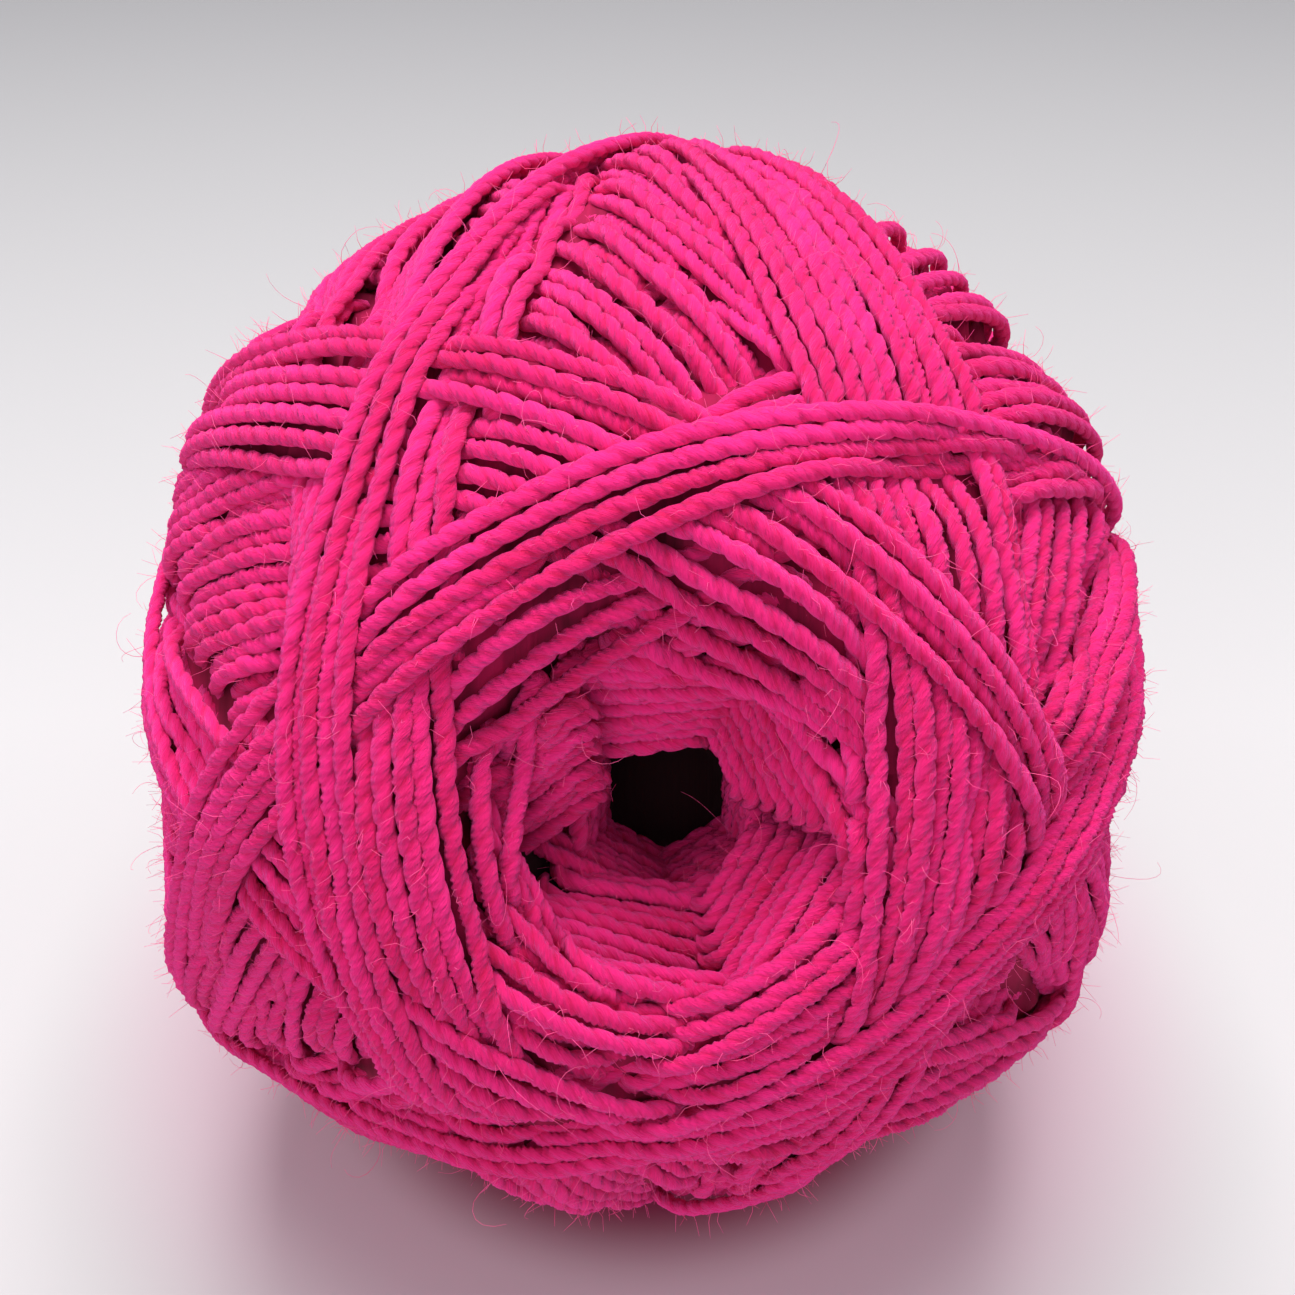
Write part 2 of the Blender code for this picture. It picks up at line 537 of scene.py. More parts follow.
    def wind(self) -> None:
        """Places every full turn, from the last one laid to the first, then fills bare spots."""
        for lay in reversed(self.plan()):
            self.place(lay)
        rays = self.surface.directions()
        body = np.abs(rays[:, 2]) < math.cos(math.radians(self.hole_angle))
        for _ in range(self.fillers):
            bare = np.flatnonzero(body & ~self.cover)
            if bare.size < self.enough_bare:
                break
            self.place(self.filler(rays[self.rng.choice(bare)]))
        LOG.info("full turns that show: %d, covered: %.3f", len(self.strands), float(self.cover.mean()))


@dataclass(frozen=True)
class Blade:
    """A few stacked turns across one side of a hole, each pair given inmost and outmost turn.

    The two ends are measured along the side from its middle, and the right end is the one
    that a turn reaches clockwise, where it folds down over the next blade.
    """

    name: str
    side: tuple[float, float]
    out: tuple[float, float]
    up: tuple[float, float]
    clockwise: tuple[float, float]
    counter: tuple[float, float]
    turns: int
    fold: float = 60.0


CORE_BLADES = (
    Blade(
        "left", (127.0, 130.0), (0.0043, 0.0108), (0.0292, 0.0372),
        (0.0036, -0.0006), (0.0125, 0.0140), 9,
    ),
    Blade(
        "top", (98.0, 92.0), (0.0052, 0.0116), (0.0285, 0.0372),
        (-0.0030, -0.0095), (0.0060, 0.0080), 10,
    ),
    Blade(
        "upper_right", (25.0, 30.0), (0.0056, 0.0122), (0.0290, 0.0378),
        (-0.0008, -0.0062), (0.0070, 0.0090), 9,
    ),
    Blade(
        "lower_right", (326.0, 328.0), (0.0062, 0.0134), (0.0288, 0.0382),
        (-0.0044, -0.0110), (0.0034, 0.0085), 10,
    ),
    Blade(
        "bottom", (262.0, 238.0), (0.0060, 0.0126), (0.0270, 0.0362),
        (-0.0060, -0.0115), (0.0070, 0.0085), 10,
    ),
)
WALL_SIDES = (30.0, 93.0, 148.0, 208.0, 262.0, 327.0)
THROAT_SIDES = (0.0, 60.0, 120.0, 180.0, 240.0, 300.0)
HALF_SIDE_ANGLE = 30.0
CORNER_OVERLAP = 0.0030


def even_blades(
    sides: tuple[float, ...], out: tuple[float, float], up: tuple[float, float], turns: int
) -> list[Blade]:
    """Makes a like blade for each side of a hole, long enough to reach under its neighbours.

    Args:
        sides: the direction of each side, in degrees round the axis.
        out: the distance of the inmost and outmost turn from the axis.
        up: the height of the inmost and outmost turn above the winding centre.
        turns: how many turns each blade has.

    Returns:
        One blade for each side.
    """
    spread = math.tan(math.radians(HALF_SIDE_ANGLE))
    reach = tuple(length * spread + CORNER_OVERLAP for length in out)
    back = tuple(-length for length in reach)
    return [Blade(f"side_{side:.0f}", (side, side), out, up, back, reach, turns, 0.0) for side in sides]


@dataclass
class HoleLining:
    """The turns that line a hole, stacked in blades that overlap like a pinwheel."""

    winder: Winder
    layer: Layer
    blades: Iterable[Blade]
    tilt: float = 0.20
    wrap: float = 0.060
    sink: float = 0.0010
    step: float = 0.00048
    overrun: tuple[float, float] = (0.0012, 0.0016)
    fold_length: float = 0.0030
    fold_drop: float = 4.0
    fold_inwards: float = 1.2
    stray_side: float = 1.5
    stray_out: float = 0.00015
    waviness: float = 0.0002
    flip: bool = False

    def lay(self) -> None:
        """Lays every blade under the full turns."""
        made = []
        for blade in self.blades:
            for number in range(blade.turns):
                made.append(self.turn(blade, number / max(blade.turns - 1, 1)))
        for strand in made:
            if strand.layer is Layer.THROAT:
                strand.seen = np.ones(len(strand.heights), bool)
                continue
            self.winder.tuck(strand)
            self.winder.notice(strand)
        for strand in made:
            if strand.seen.any():
                self.winder.add(strand)

    def turn(self, blade: Blade, share: float) -> Strand:
        """Makes one short turn across a side of the hole.

        Args:
            blade: the blade that the turn belongs to.
            share: 0 for its inmost turn and 1 for its outmost one.

        Returns:
            The open strand.
        """
        rng = self.winder.rng
        spans = (blade.side, blade.out, blade.up, blade.clockwise, blade.counter)
        side, out, up, start, end = (low + (high - low) * share for low, high in spans)
        start -= rng.uniform(*self.overrun)
        count = max(int((end - start) / self.step), 8)
        travel = np.linspace(start, end, count)
        psi = math.radians(side + rng.normal(0.0, self.stray_side))
        radial = np.array((math.cos(psi), math.sin(psi), 0.0))
        ahead = np.array((-math.sin(psi), math.cos(psi), 0.0))
        middle = (start + end) / 2.0
        past = np.clip(start + self.fold_length - travel, 0.0, None)
        bend = blade.fold * past**2
        bow = (travel - middle) ** 2
        spread = out + rng.normal(0.0, self.stray_out) + bow / (4.0 * self.wrap) - bend * self.fold_inwards
        wave = self.waviness * smooth_noise(rng, count, 4, False)
        points = radial * spread[:, None] + ahead * travel[:, None]
        drop = self.tilt * (travel - middle) + bow / (2.0 * self.wrap) + bend * self.fold_drop
        points[:, 2] += up - self.sink - drop + wave
        if self.flip:
            points *= np.array((1.0, -1.0, -1.0))
        heights = np.linalg.norm(points, axis=1)
        return Strand(points / heights[:, None], heights, False, self.layer)


@dataclass
class MeshPile:
    """Gathers the parts of one mesh: points, faces, strand coordinates and tints."""

    points: list[np.ndarray] = field(default_factory=list)
    faces: list[np.ndarray] = field(default_factory=list)
    along: list[np.ndarray] = field(default_factory=list)
    tint: list[np.ndarray] = field(default_factory=list)
    count: int = 0
    triangles: int = 0

    def add(
        self, points: np.ndarray, faces: np.ndarray, along: np.ndarray, tint: float | np.ndarray
    ) -> None:
        """Adds one tube or shell.

        Args:
            points: its points.
            faces: its quads or triangles, numbered from its own first point.
            along: each point's place along and round the strand.
            tint: how much dye the wool took, or in the heart how far painted shade darkens it, for all
                points or for each.
        """
        self.points.append(points)
        self.faces.append(faces + self.count)
        self.along.append(along)
        self.tint.append(np.broadcast_to(tint, len(points)))
        self.count += len(points)
        self.triangles += len(faces) * (faces.shape[1] - 2)

    def to_object(
        self, name: str, winding: WindingFrame, material: bpy.types.Material
    ) -> bpy.types.Object:
        """Makes the piece in the scene.

        Args:
            name: the piece's name.
            winding: the frame that the points are given in.
            material: the piece's finish.

        Returns:
            The new object.
        """
        mesh = bpy.data.meshes.new(name)
        points = winding.to_world(np.concatenate(self.points))
        loops = np.concatenate([faces.ravel() for faces in self.faces])
        sizes = np.concatenate([np.full(len(faces), faces.shape[1]) for faces in self.faces])
        mesh.vertices.add(len(points))
        mesh.vertices.foreach_set("co", points.astype(np.float32).ravel())
        mesh.loops.add(len(loops))
        mesh.loops.foreach_set("vertex_index", loops.astype(np.int32))
        mesh.polygons.add(len(sizes))
        starts = np.concatenate(([0], np.cumsum(sizes)[:-1]))
        mesh.polygons.foreach_set("loop_start", starts.astype(np.int32))
        mesh.polygons.foreach_set("use_smooth", np.ones(len(sizes), bool))
        along = np.concatenate(self.along)
        lie = mesh.attributes.new("lie", "FLOAT_VECTOR", "POINT")
        lie.data.foreach_set("vector", along.astype(np.float32).ravel())
        tint = mesh.attributes.new("tint", "FLOAT", "POINT")
        tint.data.foreach_set("value", np.concatenate(self.tint).astype(np.float32))
        mesh.update()
        mesh.validate()
        mesh.materials.append(material)
        piece = bpy.data.objects.new(name, mesh)
        bpy.context.scene.collection.objects.link(piece)
        return piece


def grid_faces(rings: int, sides: int) -> np.ndarray:
    """Numbers the quads of a tube.

    Args:
        rings: how many rings the tube has.
        sides: how many points each ring has.

    Returns:
        Four point numbers for each quad.
    """
    ring, side = np.meshgrid(np.arange(rings - 1), np.arange(sides), indexing="ij")
    after = (side + 1) % sides
    low, high = ring * sides, (ring + 1) * sides
    return np.stack((low + side, low + after, high + after, high + side), -1).reshape(-1, 4)


@dataclass
class WoundTurns:
    """Every stretch of yarn that shows, as meshes of two-ply strand."""

    winder: Winder
    yarn: Yarn
    piece_limit: int = 190000
    spare: int = 4
    shortest_run: int = 10
    twist_stray: float = 0.5
    twist_points: int = 20
    swell_points: int = 14
    dive: float = 0.0010
    tip_length: float = 0.0004
    tip_drop: float = 0.0002
    seed: int = 23

    def runs(self, strand: Strand) -> list[np.ndarray]:
        """Finds the stretches of a strand that show, each with a little to spare.

        Args:
            strand: the placed strand.

        Returns:
            The point numbers of each stretch, in order.
        """
        kept = strand.seen.copy()
        count = len(kept)
        for shift in range(1, self.spare + 1):
            if strand.closed:
                kept |= np.roll(strand.seen, shift) | np.roll(strand.seen, -shift)
            else:
                kept[shift:] |= strand.seen[:-shift]
                kept[:-shift] |= strand.seen[shift:]
        if strand.closed and kept.all():
            return [np.append(np.arange(count), 0)]
        order = np.arange(count)
        if strand.closed:
            order = np.roll(order, -int(np.argmin(kept)))
        flags = kept[order]
        edges = np.flatnonzero(np.diff(np.concatenate(([False], flags, [False]))))
        spans = zip(edges[::2], edges[1::2])
        return [order[start:stop] for start, stop in spans if stop - start >= self.shortest_run]

    def tube(self, strand: Strand, run: np.ndarray, rng: np.random.Generator, pile: MeshPile) -> None:
        """Adds one stretch of two-ply yarn to a pile.

        Args:
            strand: the strand that the stretch is part of.
            run: the point numbers of the stretch.
            rng: the seeded source of chance.
            pile: the pile that takes the tube.
        """
        middle = strand.points()[run]
        right = strand.sideways()[run]
        ahead = strand.tangents()[run]
        up = unit(np.cross(right, ahead))
        if run[0] != run[-1]:
            from_end = np.minimum(np.arange(len(run)), np.arange(len(run))[::-1])
            sink = self.dive * np.clip(1.0 - from_end / self.spare, 0.0, 1.0) ** 2
            middle = middle - up * sink[:, None]
        steps = np.linalg.norm(np.diff(middle, axis=0), axis=1)
        length = np.concatenate(([0.0], np.cumsum(steps)))
        phase = rng.uniform(0.0, 2.0 * math.pi)
        stray_waves = max(len(run) // self.twist_points, 2)
        uneven = self.twist_stray * smooth_noise(rng, len(run), stray_waves, False)
        turn = self.yarn.twist.value * length / self.yarn.ply_pitch * 2.0 * math.pi + phase + uneven
        sides = len(self.yarn.groove)
        around = np.arange(sides) * 2.0 * math.pi / sides
        angle = turn[:, None] + around[None]
        bumps = smooth_noise(rng, len(run), max(len(run) // self.swell_points, 2), False)
        swell = 1.0 + self.yarn.thick_and_thin * bumps
        size = np.array(self.yarn.groove)[None] * swell[:, None]
        wide = (size * np.cos(angle) * self.yarn.half_width)[..., None] * right[:, None]
        tall = (size * np.sin(angle) * self.yarn.half_height)[..., None] * up[:, None]
        rings = middle[:, None] + wide + tall
        first = middle[0] - ahead[0] * self.tip_length - up[0] * self.tip_drop
        last = middle[-1] + ahead[-1] * self.tip_length - up[-1] * self.tip_drop
        points = np.concatenate((rings.reshape(-1, 3), first[None], last[None]))
        along = np.zeros((len(points), 3))
        start = rng.uniform(0.0, 1.0)
        along[:-2, 0] = np.repeat(length + start, sides)
        along[:-2, 1] = np.tile(np.cos(around), len(run))
        along[:-2, 2] = np.tile(np.sin(around), len(run))
        along[-2, 0], along[-1, 0] = start, length[-1] + start
        side = np.arange(sides)
        after = (side + 1) % sides
        tail = (len(run) - 1) * sides
        cap = np.stack((np.full(sides, len(points) - 2), after, side), -1)
        end = np.stack((np.full(sides, len(points) - 1), tail + side, tail + after), -1)
        tint = rng.uniform(0.0, 1.0)
        faces = grid_faces(len(run), sides)
        pile.add(points, faces[:, ::-1], along, tint)
        pile.faces.append(cap[:, ::-1] + pile.count - len(points))
        pile.faces.append(end[:, ::-1] + pile.count - len(points))
        pile.triangles += 2 * sides

    def build(self, material: bpy.types.Material) -> list[bpy.types.Object]:
        """Makes the pieces of wound yarn.

        Args:
            material: the wool.

        Returns:
            One object for each piece.
        """
        rng = np.random.default_rng(self.seed)
        piles = [MeshPile()]
        for strand in self.winder.strands:
            for run in self.runs(strand):
                if piles[-1].triangles + len(run) * 2 * len(self.yarn.groove) > self.piece_limit:
                    piles.append(MeshPile())
                self.tube(strand, run, rng, piles[-1])
        triangles = sum(pile.triangles for pile in piles)
        LOG.info("yarn: %d strands, %d triangles", len(self.winder.strands), triangles)
        names = (f"yarn_turns_{number}" for number in range(1, len(piles) + 1))
        winding = self.winder.form.winding
        return [pile.to_object(name, winding, material) for name, pile in zip(names, piles)]


@dataclass
class BallHeart:
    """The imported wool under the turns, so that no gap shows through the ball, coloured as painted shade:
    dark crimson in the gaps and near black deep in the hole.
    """

    winder: Winder
    sink: float = 0.0001
    gap_depth: float = 0.0010
    hole_depth: float = 0.0288
    hole_angle: float = 21.0
    hole_floor: float = 0.0135
    deepest_gap: float = 0.0031
    reach: float = 0.0009
    cells: int = 44
    body_tint: float = 1.0
    # Painted shade: a tint far below any dye take-up, which turns the heart deep in the hole near black.
    hole_shade_tint: float = -3.0
    corners_per_unit: float = 1e5

    def build(self, material: bpy.types.Material) -> bpy.types.Object:
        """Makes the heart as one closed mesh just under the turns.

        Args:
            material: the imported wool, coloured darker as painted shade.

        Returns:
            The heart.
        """
        steps = np.tan(np.linspace(-1.0, 1.0, self.cells + 1) * math.pi / 4)
        first, second = np.meshgrid(steps, steps, indexing="ij")
        numbers: dict[tuple[int, ...], int] = {}
        ways: list[np.ndarray] = []
        faces: list[np.ndarray] = []
        for axis in range(3):
            for sign in (1.0, -1.0):
                face = np.empty((self.cells + 1, self.cells + 1, 3))
                face[..., axis] = sign
                face[..., (axis + 1) % 3] = first
                face[..., (axis + 2) % 3] = second
                ids = np.empty(first.shape, int)
                for place in np.ndindex(first.shape):
                    key = tuple(np.round(face[place] * self.corners_per_unit).astype(int))
                    if key not in numbers:
                        numbers[key] = len(ways)
                        ways.append(face[place])
                    ids[place] = numbers[key]
                corners = (ids[:-1, :-1], ids[1:, :-1], ids[1:, 1:], ids[:-1, 1:])
                quads = np.stack(corners, -1).reshape(-1, 4)
                faces.append(quads if sign > 0 else quads[:, ::-1])
        rays = unit(np.array(ways))
        under = self.winder.under
        surface = self.winder.surface.read(rays)
        low = np.minimum(under.read(rays), surface - self.gap_depth)
        for height, _ in under.around(rays, self.reach, self.winder.form.mean_radius):
            low = np.minimum(low, height)
        body = np.abs(rays[:, 2]) < math.cos(math.radians(self.hole_angle))
        low = np.where(body, np.maximum(low, surface - self.deepest_gap), low)
        low = np.where(~body & (rays[:, 2] > 0.0), self.hole_floor, low)
        points = rays * (low - self.sink)[:, None]
        pile = MeshPile()
        # Deep in the hole the heart is painted near black as shade; above it the heart keeps its body
        # tint.
        lit = np.where(np.linalg.norm(points, axis=1) > self.hole_depth, self.body_tint, self.hole_shade_tint)
        pile.add(points, np.concatenate(faces), points, lit)
        return pile.to_object("yarn_heart", self.winder.form.winding, material)


@dataclass(frozen=True)
class WoolFinish:
    """Colours and surface of the hot pink wool, as linear colour values."""

    name: str
    deep: tuple[float, float, float] = (0.64, 0.004, 0.080)
    bright: tuple[float, float, float] = (1.00, 0.022, 0.252)
    roughness: float = 0.85
    sheen: float = 0.60
    sheen_tint: tuple[float, float, float] = (1.0, 0.16, 0.62)
    fibre_depth: float = 0.8
    # How deep the line where the plies meet is bumped, and how much painted shade darkens its colour.
    ply_depth_and_shade: float = 0.34
    ply_line: float = 0.55


# The heart's colours are painted shade: dark crimson where it shows in the gaps between strands, near
# black deep in the hole.
HEART_SHADE_FINISH = WoolFinish(
    "pink_wool_heart_painted_shade", deep=(0.012, 0.0, 0.002), bright=(0.50, 0.004, 0.085), sheen=0.0
)
FUZZ_FINISH = WoolFinish("pink_wool_fuzz", deep=(1.0, 0.05, 0.25), bright=(1.0, 0.20, 0.42))


def add_maths(nodes: bpy.types.Nodes, operation: str, value: float | None = None) -> bpy.types.Node:
    """Adds a maths node.

    Args:
        nodes: the nodes that it joins.
        operation: what it does.
        value: its second number, if it has a fixed one.

    Returns:
        The node.
    """
    made = nodes.new("ShaderNodeMath")
    made.operation = operation
    if value is not None:
        made.inputs[1].default_value = value
    return made


def add_ramp(nodes: bpy.types.Nodes, low: float, high: float, smooth: bool = False) -> bpy.types.Node:
    """Adds a node that turns a range of numbers into nought to one.

    Args:
        nodes: the nodes that it joins.
        low: the number that becomes nought.
        high: the number that becomes one.
        smooth: whether it eases in and out.

    Returns:
        The node.
    """
    made = nodes.new("ShaderNodeMapRange")
    made.interpolation_type = "SMOOTHSTEP" if smooth else "LINEAR"
    made.inputs["From Min"].default_value = low
    made.inputs["From Max"].default_value = high
    return made


def add_blend(nodes: bpy.types.Nodes, first: tuple[float, ...] | None = None) -> bpy.types.Node:
    """Adds a node that blends two colours.

    Args:
        nodes: the nodes that it joins.
        first: its first colour, if that is a fixed one.

    Returns:
        The node.
    """
    made = nodes.new("ShaderNodeMix")
    made.data_type = "RGBA"
    if first is not None:
        made.inputs[6].default_value = (*first, 1.0)
    return made


class WoolShop:
    """Builds the wool's shader groups once and the materials that use them."""

    cloud_scale: float = 140.0
    strand_share: float = 0.42
    dye_and_shade_span: tuple[float, float] = (0.90, 2.00)
    sheen_roughness: float = 0.4
    gloss: float = 0.2
    bump_height: float = 0.0003

    def __init__(self) -> None:
        """Builds the shared groups."""
        self.fibres = self.fibre_group()
        self.plies = self.ply_group()
        self.dye_and_shade = self.dye_and_shade_group()

    @staticmethod
    def socket(
        group: bpy.types.NodeTree,
        name: str,
        way: str,
        kind: str,
        value: float | tuple[float, ...] | None = None,
    ) -> None:
        """Adds one named socket to a group.

        Args:
            group: the node group.
            name: the socket's name.
            way: whether it is an input or an output.
            kind: the socket's type.
            value: its default value, if it has one.
        """
        made = group.interface.new_socket(name=name, in_out=way, socket_type=kind)
        if value is not None:
            made.default_value = value

    def fibre_group(self) -> bpy.types.NodeTree:
        """Builds the fine lie of the fibres along a strand, from its own coordinates.

        Returns:
            The group.
        """
        group = bpy.data.node_groups.new("wool_fibres", "ShaderNodeTree")
        self.socket(group, "Fibres Per Metre", "INPUT", "NodeSocketFloat", 800.0)
        self.socket(group, "Fibres Around", "INPUT", "NodeSocketFloat", 6.5)
        self.socket(group, "Lie", "OUTPUT", "NodeSocketFloat")
        nodes, links = group.nodes, group.links
        given = nodes.new("NodeGroupInput")
        out = nodes.new("NodeGroupOutput")
        lie = nodes.new("ShaderNodeAttribute")
        lie.attribute_name = "lie"
        parts = nodes.new("ShaderNodeSeparateXYZ")
        join = nodes.new("ShaderNodeCombineXYZ")
        stretch = add_maths(nodes, "MULTIPLY")
        links.new(lie.outputs["Vector"], parts.inputs["Vector"])
        links.new(parts.outputs["X"], stretch.inputs[0])
        links.new(given.outputs["Fibres Per Metre"], stretch.inputs[1])
        links.new(stretch.outputs[0], join.inputs["X"])
        for name in ("Y", "Z"):
            spread = add_maths(nodes, "MULTIPLY")
            links.new(parts.outputs[name], spread.inputs[0])
            links.new(given.outputs["Fibres Around"], spread.inputs[1])
            links.new(spread.outputs[0], join.inputs[name])
        noise = nodes.new("ShaderNodeTexNoise")
        noise.inputs["Scale"].default_value = 1.0
        noise.inputs["Detail"].default_value = 3.0
        noise.inputs["Roughness"].default_value = 0.6
        links.new(join.outputs["Vector"], noise.inputs["Vector"])
        links.new(noise.outputs["Fac"], out.inputs["Lie"])
        return group

    def ply_group(self) -> bpy.types.NodeTree:
        """Builds the mask of the two plies, nought in the line where they meet.

        Returns:
            The group.
        """
        group = bpy.data.node_groups.new("wool_plies", "ShaderNodeTree")
        self.socket(group, "Line Width", "INPUT", "NodeSocketFloat", 0.5)
        self.socket(group, "Ply", "OUTPUT", "NodeSocketFloat")
        nodes, links = group.nodes, group.links
        given = nodes.new("NodeGroupInput")
        out = nodes.new("NodeGroupOutput")
        lie = nodes.new("ShaderNodeAttribute")
        lie.attribute_name = "lie"
        parts = nodes.new("ShaderNodeSeparateXYZ")
        side = add_maths(nodes, "ABSOLUTE")
        ramp = add_ramp(nodes, 0.0, 1.0, smooth=True)
        links.new(lie.outputs["Vector"], parts.inputs["Vector"])
        links.new(parts.outputs["Y"], side.inputs[0])
        links.new(side.outputs[0], ramp.inputs["Value"])
        links.new(given.outputs["Line Width"], ramp.inputs["From Max"])
        links.new(ramp.outputs["Result"], out.inputs["Ply"])
        return group

    def dye_and_shade_group(self) -> bpy.types.NodeTree:
        """Builds the wool's colour: the uneven take-up of the dye from strand to strand and along each,
        with painted shade in the line where the plies meet and, through the tint, painted shade deep in
        the hole.

        Returns:
            The group.
        """
        group = bpy.data.node_groups.new("wool_dye_and_shade", "ShaderNodeTree")
        self.socket(group, "Deep", "INPUT", "NodeSocketColor", (0.5, 0.0, 0.1, 1.0))
        self.socket(group, "Bright", "INPUT", "NodeSocketColor", (1.0, 0.0, 0.2, 1.0))
        self.socket(group, "Lie", "INPUT", "NodeSocketFloat", 0.5)
        self.socket(group, "Colour", "OUTPUT", "NodeSocketColor")
        nodes, links = group.nodes, group.links
        given = nodes.new("NodeGroupInput")
        out = nodes.new("NodeGroupOutput")
        tint = nodes.new("ShaderNodeAttribute")
        tint.attribute_name = "tint"
        place = nodes.new("ShaderNodeTexCoord")
        cloud = nodes.new("ShaderNodeTexNoise")
        cloud.inputs["Scale"].default_value = self.cloud_scale
        cloud.inputs["Detail"].default_value = 2.0
        links.new(place.outputs["Object"], cloud.inputs["Vector"])
        by_strand = add_maths(nodes, "MULTIPLY_ADD", self.strand_share)
        links.new(tint.outputs["Fac"], by_strand.inputs[0])
        links.new(cloud.outputs["Fac"], by_strand.inputs[2])
        # Adds the fibres and the painted shade of the ply line to the dye.
        by_fibre_and_ply_shade = add_maths(nodes, "MULTIPLY_ADD", 1.0)
        links.new(given.outputs["Lie"], by_fibre_and_ply_shade.inputs[0])
        links.new(by_strand.outputs[0], by_fibre_and_ply_shade.inputs[2])
        spread = add_ramp(nodes, *self.dye_and_shade_span)
        links.new(by_fibre_and_ply_shade.outputs[0], spread.inputs["Value"])
        mix = add_blend(nodes)
        links.new(spread.outputs["Result"], mix.inputs["Factor"])
        links.new(given.outputs["Deep"], mix.inputs[6])
        links.new(given.outputs["Bright"], mix.inputs[7])
        links.new(mix.outputs[2], out.inputs["Colour"])
        return group

    def material(self, finish: WoolFinish) -> bpy.types.Material:
        """Makes one wool material.

        Args:
            finish: its colours and surface.

        Returns:
            The material.
        """
        material = bpy.data.materials.new(finish.name)
        material.use_nodes = True
        nodes, links = material.node_tree.nodes, material.node_tree.links
        shader = nodes["Principled BSDF"]
        shader.inputs["Roughness"].default_value = finish.roughness
        shader.inputs["Sheen Weight"].default_value = finish.sheen
        shader.inputs["Sheen Roughness"].default_value = self.sheen_roughness
        shader.inputs["Sheen Tint"].default_value = (*finish.sheen_tint, 1.0)
        shader.inputs["Specular IOR Level"].default_value = self.gloss
        fibres = nodes.new("ShaderNodeGroup")
        fibres.node_tree = self.fibres
        dye_and_shade = nodes.new("ShaderNodeGroup")
        dye_and_shade.node_tree = self.dye_and_shade
        dye_and_shade.inputs["Deep"].default_value = (*finish.deep, 1.0)
        dye_and_shade.inputs["Bright"].default_value = (*finish.bright, 1.0)
        plies = nodes.new("ShaderNodeGroup")
        plies.node_tree = self.plies
        plies.inputs["Line Width"].default_value = finish.ply_line
        # The ply mask darkens the colour as well as the bump: painted shade in the crease where the plies
        # meet.
        relief_and_ply_shade = add_maths(nodes, "MULTIPLY_ADD", finish.ply_depth_and_shade)
        links.new(plies.outputs["Ply"], relief_and_ply_shade.inputs[0])
        links.new(fibres.outputs["Lie"], relief_and_ply_shade.inputs[2])
        bump = nodes.new("ShaderNodeBump")
        bump.inputs["Strength"].default_value = finish.fibre_depth
        bump.inputs["Distance"].default_value = self.bump_height
        links.new(relief_and_ply_shade.outputs[0], dye_and_shade.inputs["Lie"])
        links.new(relief_and_ply_shade.outputs[0], bump.inputs["Height"])
        links.new(dye_and_shade.outputs["Colour"], shader.inputs["Base Color"])
        links.new(bump.outputs["Normal"], shader.inputs["Normal"])
        return material


